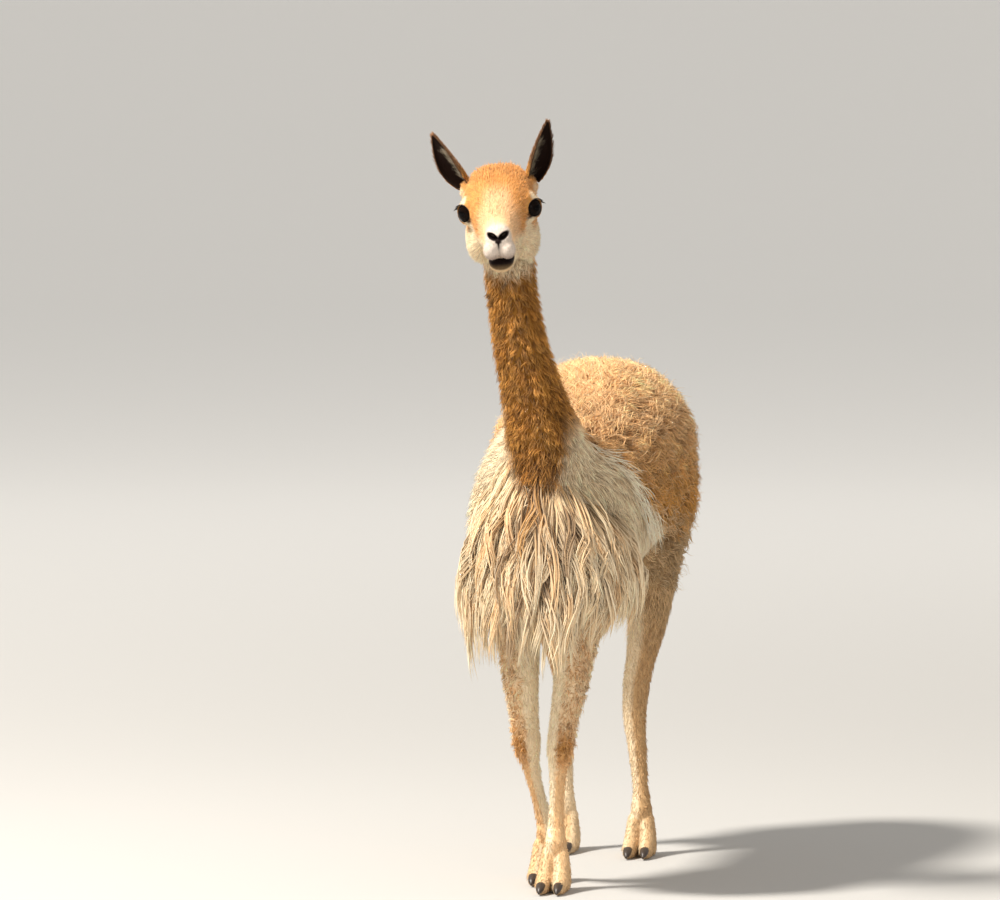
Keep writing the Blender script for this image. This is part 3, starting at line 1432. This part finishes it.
tufted("crown_wisps", roots[top], normals[top], lies[top], WISPS, unwrap_head, 62)
tufted("nape_wool", nape_roots, nape_normals, NAPE_WAY, NAPE, unwrap_head, 64)

# %% [markdown]
# The chest carries the animal's showpiece: a bib of long hair that hangs in wavy, pointed locks.
# Each lock follows a path that leaves the chest, bends over and hangs along the outer form of the
# bib, waving as it goes. A dozen strands share the path and gather towards its tip. The locks
# start highest on the animal's right, and lower on its left, where the shoulder's hair is smooth.

# %% Paths of the bib's locks
BIB_FINE = curve_through(BIB, 4)[::-1]
BIB_ROWS = 13
BIB_LOCKS = 31
BIB_STRANDS = 13
BIB_RINGS = 7
BIB_LOW = 0.528
BIB_HANG = 0.440
BIB_SPREAD = math.radians(116)
UNDER_CHEST = 0.004


def over_bib(turn, height, lift):
    """Places over the bib: turn from straight ahead, lift over its outer form."""
    held = np.clip(height, BIB_FINE[0, 2], BIB_FINE[-1, 2])
    x, y, wide, ahead, behind = (np.interp(held, BIB_FINE[:, 2], BIB_FINE[:, k]) for k in (0, 1, 3, 4, 5))
    reach = np.where(np.abs(turn) < math.pi / 2, ahead, behind)
    return np.stack([x + (wide + lift) * np.sin(turn), y - (reach + lift) * np.cos(turn), height], axis=-1)


def lock_roots(draw):
    """Turns and heights of the locks' roots, as columns."""
    share, turn = np.meshgrid(np.linspace(0, 1, BIB_ROWS), np.linspace(-1, 1, BIB_LOCKS), indexing="ij")
    turn = (turn + draw.uniform(-1, 1, turn.shape) / BIB_LOCKS) * BIB_SPREAD
    share = np.clip(share + draw.uniform(-0.5, 0.5, share.shape) / BIB_ROWS, 0, 1)
    top = bib_top(turn)
    low = BIB_LOW + 0.050 * ramp(turn, 0.1, 1.2)
    height = top + (low - top) * share + draw.normal(0, 0.008, share.shape)
    return turn.reshape(-1, 1), height.reshape(-1, 1)


def strand_paths(draw):
    """Paths of all the strands, with their roots' turns and heights and their locks' tones."""
    turn, height = lock_roots(draw)
    one, each = (len(turn), 1), (len(turn), BIB_STRANDS)
    long = (0.140 + 0.050 * ramp(height, 0.53, 0.68)) * draw.uniform(0.66, 1.25, one)
    long = long * (1 - 0.22 * np.maximum(0, np.sin(turn))) * (1 - 0.30 * ramp(np.abs(turn), 1.4, 2.0))
    long = long * (1 - 0.40 * ramp(height, 0.690, 0.750))
    sway = draw.normal(0, 0.060, one)
    phase, turns = draw.uniform(0, math.tau, one), draw.uniform(3.0, 7.0, one)
    wave = draw.uniform(0.035, 0.090, one)
    stand = draw.normal(0, 0.0065, one) - 0.014 * ramp(height, 0.66, 0.74)
    own_turn, own_height = draw.normal(0, 0.050, each), draw.normal(0, 0.009, each)
    own_long, own_phase = draw.uniform(0.78, 1.08, each), draw.uniform(0, math.tau, each)
    own_lift = draw.normal(0, 0.0032, each)
    deep = BIB_DEPTH + UNDER_CHEST
    paths = []
    for ring in range(BIB_RINGS + 1):
        t = ring / BIB_RINGS
        spread = turn * (1 + 0.07 * t) + sway * t + wave * (np.sin(phase + turns * t) - np.sin(phase))
        spread = spread + own_turn * (1 - 0.84 * t) + 0.012 * np.sin(own_phase + 6.0 * t) * t
        lift = -deep + (deep + stand) * min(1.0, 2.4 * t) ** 0.7
        lift = lift + own_lift * t + 0.004 * np.sin(phase * 2 + turns * t) * t - 0.006 * t**3
        drop = height + own_height * (1 - 0.6 * t) - long * own_long * t
        spot = over_bib(spread, np.maximum(drop, BIB_HANG), lift)
        spot[..., 2] = drop
        paths.append(spot.reshape(-1, 3))
    tones = np.repeat(draw.normal(size=len(turn)), BIB_STRANDS)
    return np.stack(paths, axis=1), (turn + own_turn).reshape(-1), (height + own_height).reshape(-1), tones


bib_draw = np.random.default_rng(70)
bib_path, bib_turn, bib_start, bib_tone = strand_paths(bib_draw)
bib_path = bib_path + np.array(BODY.translation)
print("bib:", BIB_ROWS * BIB_LOCKS, "locks of", BIB_STRANDS, "strands")

# %% [markdown]
# The strands are cream, brown where the neck's wool runs down into them, and dark deep between
# the locks. Each is a flat spike, widest a third of the way down.

# %% The bib
BIB_GOLD = tone(222, 182, 124)
BIB_ROOT = np.array((0.28, 0.17, 0.07))
BIB_OPEN_ROOT = np.array((0.84, 0.76, 0.62))
BIB_TIP = np.array((1.06, 1.02, 0.94))


def bib_colours(start, turn, tones, draw):
    count = len(start)
    wedge = (1 - ramp(np.abs(turn + 0.05), 0.10, 0.45)) * ramp(start, 0.650, 0.690)
    middle = 1 - ramp(np.abs(turn - 0.15), 0.3, 0.9)
    colour = painted(
        BIB_CREAM,
        (NECK_TAN, wedge * draw.random(count) ** 0.7),
        (BIB_GOLD, draw.random(count) ** 1.8 * 0.55),
        (BROWN, ramp(tones, 0.8, 1.6) * (0.15 + 0.50 * middle)),
        (SUN_TAN, ramp(-tones, 0.2, 1.4) * 0.55),
    )
    return colour * draw.uniform(0.88, 1.06, (count, 1))


def bib_piece(name, here, draw):
    path, turn, start = bib_path[here], bib_turn[here], bib_start[here]
    ways = np.stack([np.sin(turn), -np.cos(turn), np.full(len(path), 0.1)], axis=1)
    along = unit(path[:, -1] - path[:, 0])
    ups = tangent(ways, along)
    t = np.arange(BIB_RINGS) / BIB_RINGS
    profile = (0.65 + 1.25 * t - 1.75 * t**2) / 2
    width = (0.0018 + 0.0038 * draw.random((len(path), 1)) ** 1.4) * profile
    points = spikes(path, np.cross(along, ups), ups, width, 0.5)
    colour = bib_colours(start, turn, bib_tone[here], draw)
    share = np.minimum(1, 1.5 * along_spike(BIB_RINGS))[None, :, None]
    root = BIB_ROOT + (BIB_OPEN_ROOT - BIB_ROOT) * ramp(start, 0.650, 0.700)[:, None, None]
    colours = colour[:, None] * (root + (BIB_TIP - root) * share)
    return spike_mesh(name, points, colours, wrap_round(turn, (start - 0.40) / 0.42), coat_finish)


for name, here in (("bib_left", bib_turn > 0), ("bib_right", bib_turn <= 0)):
    bib_piece(name, here, bib_draw)

# %% [markdown]
# The tail is a short woolly brush, cinnamon above and white beneath.

# %% Tail
roots, normals = all_roots[tail_here], all_normals[tail_here]
low = ramp(0.60 - body_space(roots)[:, 2], 0.0, 0.06)
TAIL_WOOL = dict(FLEECE, length=0.038, stray=0.35, rise=0.5, gather=0.5)
TAIL_WOOL["colour"] = painted(CINNAMON, (CREAM, ramp(-normals[:, 1], -0.3, 0.3)), (CREAM, low * 0.8))
tufted("tail_wool", roots, normals, DOWN, TAIL_WOOL, unwrap_tail, 80)

# %% [markdown]
# The eyes are large, dark and wet. The ball is deep brown with a wide, level pupil, and a clear
# coat gives the highlight.

# %% Eyes
SIDES = ((1, "left"), (-1, "right"))
WET = {"Roughness": 0.30, "Specular IOR Level": 0.0, "Coat Weight": 0.20, "Coat Roughness": 0.02}


def eye_axes(side):
    turn = HEAD.to_3x3()
    out = (turn @ looking(side)).normalized()
    up = (turn @ Vector((0, 0, 1))).normalized()
    across = up.cross(out).normalized()
    return out, across, out.cross(across).normalized()


def eye_middle(side):
    return HEAD @ eye_spot(side)


def eye_finish():
    made, tree, shader = new_finish("wet_eye", {**WET, "Coat IOR": 1.34})
    colour = node(tree, "VertexColor")
    colour.layer_name = "coat"
    wire(tree, (colour, "Color", shader, "Base Color"))
    return made


def eyeball(side, word, gloss):
    made = ball(eye_spot(side), (EYE_RADIUS - 0.0003,) * 3, HEAD, segments=72)
    made.name = f"eyeball_{word}"
    points, _ = mesh_arrays(made.data)
    out, across, up = (np.array(axis) for axis in eye_axes(side))
    ways = unit(points - np.array(eye_middle(side)))
    x, y, z = ways @ across, ways @ up, ways @ out
    turn = np.arctan2(y, x)
    streak = 0.5 + 0.5 * np.sin(turn * 46 + 3 * np.sin(turn * 7))
    iris = tone(20, 11, 7) * (0.6 + 0.5 * streak[:, None])
    pupil = 1 - ramp(np.sqrt((x / 0.46) ** 2 + (y / 0.26) ** 2), 0.9, 1.1)
    rim = 1 - ramp(np.sqrt(x * x + y * y), 0.62, 0.74)
    set_colour(made.data, painted(tone(12, 7, 6), (iris, rim), (tone(6, 4, 4), pupil * (z > 0))))
    worn(made, gloss)
    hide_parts(f"eye_{word}")


eye_gloss = eye_finish()
for side, word in SIDES:
    eyeball(side, word, eye_gloss)
print("eyeballs of", EYE_RADIUS, "m radius")

# %% [markdown]
# The lids leave a slanted, pointed opening, lower towards the nose, with a dark moist rim. The
# rim is a tube along that opening, and every point of it is found by swinging away from the eye's
# axis, so that it hugs the ball.

# %% Rims of the lids
RIM_WIDE = math.radians(64)
RIM_HIGH = math.radians(51)
RIM_POINTED = 0.35
RIM_SLANT = math.radians(16)
RIM_THICK = 0.0014
LID_REACH = math.radians(26)
RIM_POINTS = 56


def lid_finish():
    made, tree, shader = new_finish("lid_skin", {"Roughness": 0.45})
    place, noise = node(tree, "TexCoord"), node(tree, "TexNoise", {"Scale": 900.0})
    mix = colour_mix(tree, (0.012, 0.007, 0.005), (0.040, 0.024, 0.017))
    wire(
        tree,
        (place, "Object", noise, "Vector"),
        (noise, "Fac", mix, "Factor"),
        (mix, "Result", shader, "Base Color"),
    )
    return made


def rim_way(side, angle, more=0.0):
    """The way from the eye's middle to its lid's edge, at an angle from the rear corner."""
    out, across, up = eye_axes(side)
    wide = RIM_WIDE * math.cos(angle)
    high = RIM_HIGH * math.sin(angle) * abs(math.sin(angle)) ** RIM_POINTED
    swing = math.hypot(wide, high) + more
    c, s = math.cos(side * RIM_SLANT), math.sin(side * RIM_SLANT)
    flat = (across * (wide * c - high * s) + up * (wide * s + high * c)).normalized()
    return (out * math.cos(swing) + flat * math.sin(swing)).normalized()


def lid_rim(side, word):
    curve = bpy.data.curves.new(f"lid_rim_{word}", "CURVE")
    curve.dimensions = "3D"
    curve.bevel_depth = RIM_THICK
    curve.bevel_resolution = 3
    line = curve.splines.new("POLY")
    line.use_cyclic_u = True
    line.points.add(RIM_POINTS - 1)
    for i, point in enumerate(line.points):
        way = rim_way(side, math.tau * i / RIM_POINTS)
        point.co = (*(eye_middle(side) + way * (EYE_RADIUS + 0.0006)), 1.0)
    wire_object = add_object("rim", curve)
    graph = bpy.context.evaluated_depsgraph_get()
    mesh = bpy.data.meshes.new_from_object(wire_object.evaluated_get(graph))
    bpy.data.objects.remove(wire_object)
    mesh.materials.clear()
    worn(add_object(f"lid_rim_{word}", mesh), lid_dark)


print("the rims are", 2 * RIM_THICK, "m thick")

# %% [markdown]
# Over the ball, each lid is a thin shell that reaches from the rim to under the skin of the face.
# Its section is swept round the same pointed opening, dark at the rim and haired further out.

# %% Lids
# How far out along a lid each point of its section lies, and how high over the ball.
LID_SECTION = [(share, 0.0011) for share in (0.0, 0.15, 0.35, 0.6, 1.0)]
LID_SECTION += [(share, 0.0001) for share in (1.0, 0.5, 0.0)]


def lid_skin(side, word):
    """The lids themselves: a thin shell over the ball, from the rim to under the skin of the face."""
    points = []
    for i in range(RIM_POINTS):
        for share, lift in LID_SECTION:
            way = rim_way(side, math.tau * i / RIM_POINTS, LID_REACH * share)
            points.append(eye_middle(side) + way * (EYE_RADIUS + lift))
    made = solid(f"lids_{word}", points, quads(RIM_POINTS, len(LID_SECTION), loop=True))
    shares = np.array([share for share, _ in LID_SECTION] * RIM_POINTS)
    colour = coat_colour(*mesh_arrays(made.data))
    set_colour(made.data, blend(colour, DARK_SKIN, 1 - ramp(shares, 0.45, 1.00)))
    worn(made, skin_finish)


print("a lid's section has", len(LID_SECTION), "points")

# %% [markdown]
# Long lashes shade the eyes of an animal that lives under a high sun. They stand in a dense wedge
# over the rear corner, and droop. They are spikes like the coat's, placed one by one along the
# rim.

# %% Lashes
LASHES = 44


def lashes(side, word):
    """Long lashes in a dense wedge over the rear corner, and short ones along the rest of the lid."""
    draw = np.random.default_rng(90 + side)
    _, across, up = eye_axes(side)
    turn = HEAD.to_3x3()
    sideways = turn @ Vector((side * 0.92, -0.05, 0.10))
    droop = turn.col[2] * -0.40
    paths, sides = [], []
    for i in range(LASHES):
        share = (i + 0.5) / LASHES
        angle = math.radians(-4 + 100 * share)
        way = rim_way(side, angle if side > 0 else math.pi - angle)
        root = eye_middle(side) + way * (EYE_RADIUS + 0.0004)
        out = (sideways + way * 0.35 + across * float(draw.normal(0, 0.05))).normalized()
        long = (0.0095 - 0.0060 * share) * draw.uniform(0.70, 1.2)
        paths.append([root + out * (long * t) + droop * (long * t * t) for t in (0.0, 0.35, 0.7, 1.0)])
        sides.append(out.cross(up).normalized())
    widths = np.tile((0.0008, 0.0006, 0.0004), (LASHES, 1))
    points = spikes(np.array(paths), np.array(sides), np.array(up), widths, 1.0)
    colours = np.tile(tone(22, 12, 9), (LASHES, points.shape[1], 1))
    spike_mesh(f"lashes_{word}", points, colours, np.full((LASHES, 2), 0.5), lid_dark)


lid_dark = lid_finish()
for side, word in SIDES:
    lid_rim(side, word)
    lid_skin(side, word)
    lashes(side, word)
print("lashes:", 2 * LASHES)

# %% [markdown]
# The back of each ear has short brown fur that runs to the tip. The cup is almost bare and dark,
# and long white hairs grow from its inner edge across it.

# %% Fur of the ears
EAR_FUR = dict(length=0.0075, width=0.0015, rise=0.22, curl=0.1, gather=0.2, clump=0.004,
               sink=0.0008, stray=0.2, rings=2, mottle=0.04)
EAR_HAIRS = dict(length=0.0180, width=0.0006, rise=0.32, curl=0.12, gather=0.2, clump=0.006,
                 sink=0.0008, stray=0.45, rings=3, mottle=0.04)


def ear_fur(side, word, count=2000):
    draw = np.random.default_rng(100 + side)
    t, across = draw.uniform(0.02, 0.97, count), draw.uniform(-1, 1, count)
    roots = ear_point(side, t, across, 0.0)
    ahead = ear_point(side, np.minimum(t + 0.01, 1.0), across, 0.0)
    out = unit(ear_point(side, t, across, 0.002) - roots)
    edge = ramp(np.abs(across), 0.80, 1.0) * 0.5
    look = dict(EAR_FUR, colour=painted(EAR_BACK, (EAR_DARK, edge), (CINNAMON, 1 - ramp(t, 0.0, 0.35))))
    uv = wrap_round(across * 3, t)
    tufted(f"ear_fur_{word}", roots, out, ahead - roots, look, lambda _: uv, 110 + side)


def ear_hairs(side, word, count=420):
    draw = np.random.default_rng(120 + side)
    t = 0.02 + 0.62 * draw.random(count) ** 1.2
    inner = -side * draw.uniform(0.25, 1.0, count)
    roots = ear_point(side, t, inner, -EAR_THICK)
    towards = ear_point(side, np.minimum(t + 0.20, 1.0), inner * 0.25, -EAR_THICK * 2)
    out = unit(ear_point(side, t, inner, -0.006) - ear_point(side, t, inner, 0.0))
    pale = CREAM * draw.uniform(0.10, 0.62, (count, 1)) ** 1.3
    look = dict(EAR_HAIRS, colour=pale, scale=1.2 - 0.7 * t)
    uv = wrap_round(inner * 3, t)
    tufted(f"ear_hairs_{word}", roots, out, towards - roots, look, lambda _: uv, 130 + side)


for side, word in SIDES:
    ear_fur(side, word)
    ear_hairs(side, word)

# %% [markdown]
# Each toe ends in a small dark claw over its pad. Horn has fine streaks along it and a dull
# polish.

# %% Toenails
NAIL = mm(
    0, -44, 19, 6.6, 5, 5,
    0, -60, 15.5, 7.8, 5.8, 6,
    0, -72, 9.5, 6, 5.3, 5,
    0, -79.5, 5, 1.8, 1.8, 2,
)


def horn_finish():
    made, tree, shader = new_finish("toe_horn", {"Roughness": 0.38})
    place, noise = node(tree, "TexCoord"), node(tree, "TexNoise", {"Scale": 900.0})
    stretch = node(tree, "Mapping", {"Scale": (1.0, 0.12, 0.3)})
    mix = colour_mix(tree, (0.016, 0.011, 0.009), (0.075, 0.052, 0.038))
    relief = node(tree, "Bump", {"Distance": 0.0004})
    wire(
        tree,
        (place, "Object", stretch, "Vector"),
        (stretch, "Vector", noise, "Vector"),
        (noise, "Fac", mix, "Factor"),
        (mix, "Result", shader, "Base Color"),
        (noise, "Fac", relief, "Height"),
        (relief, "Normal", shader, "Normal"),
    )
    return made


def toenail(leg, toe, place):
    x, y = LEGS[leg][-1][:2]
    made = loft(NAIL + (x + toe * TOE_SPREAD * 1.06, y, 0, 0, 0, 0), UP, BODY, ring=20)
    made.name = f"toenail_{leg}_{place}"
    worn(made, horn)
    end, word = leg.split("_")
    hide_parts(f"{end}_nail_{word}_{place}")


horn = horn_finish()
for leg in LEGS:
    for toe, place in ((1, "outer"), (-1, "inner")):
        toenail(leg, toe, place)
print("toenails:", 2 * len(LEGS))

# %% [markdown]
# A pale floor rises all round into a wall, like the paper sweep of a studio, so no horizon shows
# from any side. It is a turned shape: one profile, spun about the vertical.

# %% The studio floor
FLOOR_FLAT = 20.0
FLOOR_EDGE = 38.0
FLOOR_WALL = 16.0
FLOOR_SPOKES = 96
FLOOR_PAINT = (0.52, 0.51, 0.495)
WALL_PAINT = (0.97, 0.96, 0.94)
PAINT_REACH = (1.5, 9.0)


def floor_finish():
    made, tree, shader = new_finish("floor_paint", {"Roughness": 0.95})
    place, reach = node(tree, "TexCoord"), node(tree, "VectorMath")
    reach.operation = "LENGTH"
    rise = node(tree, "MapRange", dict(zip(("From Min", "From Max"), PAINT_REACH)))
    rise.interpolation_type = "SMOOTHSTEP"
    mix = colour_mix(tree, FLOOR_PAINT, WALL_PAINT)
    wire(
        tree,
        (place, "Object", reach, 0),
        (reach, "Value", rise, "Value"),
        (rise, "Result", mix, "Factor"),
        (mix, "Result", shader, "Base Color"),
    )
    return made


def studio_floor():
    profile = [(share * FLOOR_FLAT, 0.0) for share in (0.02, 0.06, 0.15, 0.35, 0.65, 0.97, 1.0)]
    for i in range(1, 13):
        angle = math.radians(90 * i / 12)
        out = FLOOR_FLAT + (FLOOR_EDGE - FLOOR_FLAT) * math.sin(angle)
        profile.append((out, FLOOR_WALL * (1 - math.cos(angle))))
    turns = [math.tau * k / FLOOR_SPOKES for k in range(FLOOR_SPOKES)]
    points = [(r * math.cos(turn), r * math.sin(turn), z) for r, z in profile for turn in turns]
    faces = [tuple(range(FLOOR_SPOKES))]
    faces += [face[::-1] for face in quads(len(profile), FLOOR_SPOKES)]
    mesh = bpy.data.meshes.new("studio_floor")
    mesh.from_pydata(points, [], faces)
    mesh.shade_smooth()
    mesh.materials.append(floor_finish())
    made = add_object("studio_floor", mesh)


studio_floor()
print("floor", 2 * FLOOR_EDGE, "m across")

# %% [markdown]
# The light follows the photograph: a strong key from high on the left, a broad soft fill from the
# front, and a pale room that keeps the shaded side open.

# %% Lights and room


def aimed(name, data, place, way):
    """A light or a camera at a place, turned to look along a way."""
    made = add_object(name, data)
    made.location = place
    made.rotation_mode = "QUATERNION"
    made.rotation_quaternion = way.to_track_quat("-Z", "Y")
    return made


def soft_light(name, place, target, size, power, colour):
    data = bpy.data.lights.new(name, "AREA")
    data.shape = "DISK"
    data.size = size
    data.energy = power
    data.color = colour
    aimed(name, data, place, Vector(target) - Vector(place))


soft_light("key", (-3.6, -2.5, 6.5), (0, 0, 0.75), 1.1, 960, (1.0, 0.95, 0.87))
soft_light("fill", (3.5, -7.5, 2.6), (0, 0, 0.7), 4.0, 70, (1.0, 0.96, 0.90))
world = bpy.data.worlds.new("room")
bpy.context.scene.world = world
world.use_nodes = True
set_inputs(world.node_tree.nodes["Background"], {"Color": (1.0, 0.975, 0.935, 1), "Strength": 0.58})
bpy.context.scene.view_settings.view_transform = "Standard"
print("lights: key and fill")

# %% [markdown]
# The camera stands twelve metres off, a little above the animal's eye line, with a long lens, as
# the photograph was taken. Its aim is worked out from the size of a pixel at the forefeet.

# %% The camera
PICTURE = (1000, 900)
CAMERA_TURN = math.radians(10)
CAMERA_DOWN = math.radians(4)
CAMERA_AWAY = 12.0
PIXEL = 0.00169
SENSOR = 36.0
FEET_PIXEL = (571, 889)
FORE_FEET_Y = -0.22


def place_camera():
    right = Vector((math.cos(CAMERA_TURN), math.sin(CAMERA_TURN), 0))
    level = math.cos(CAMERA_DOWN)
    ahead = Vector((-right.y * level, right.x * level, -math.sin(CAMERA_DOWN)))
    up = right.cross(ahead)
    feet = Vector((0, FORE_FEET_Y, 0))
    pixel_x = FEET_PIXEL[0] + feet.dot(right) / PIXEL
    aim = BODY.translation + feet
    aim = aim + right * ((PICTURE[0] / 2 - pixel_x) * PIXEL)
    aim = aim + up * ((FEET_PIXEL[1] - PICTURE[1] / 2) * PIXEL)
    data = bpy.data.cameras.new("camera")
    data.sensor_width = SENSOR
    data.lens = SENSOR * CAMERA_AWAY / (PICTURE[0] * PIXEL)
    data.clip_end = 200.0
    return aimed("camera", data, aim - ahead * CAMERA_AWAY, ahead)


camera = place_camera()
bpy.context.scene.camera = camera
print("camera at", [round(c, 3) for c in camera.location], "lens", round(camera.data.lens, 1))

# %% [markdown]
# At the end the box of the finished pieces is written beside the box of the solids, which shows
# whether the coat stayed within the shape that was checked.

# %% Sizes, and the end
for mesh in (body_mesh, head_mesh, *foot_meshes):
    bpy.data.meshes.remove(mesh)
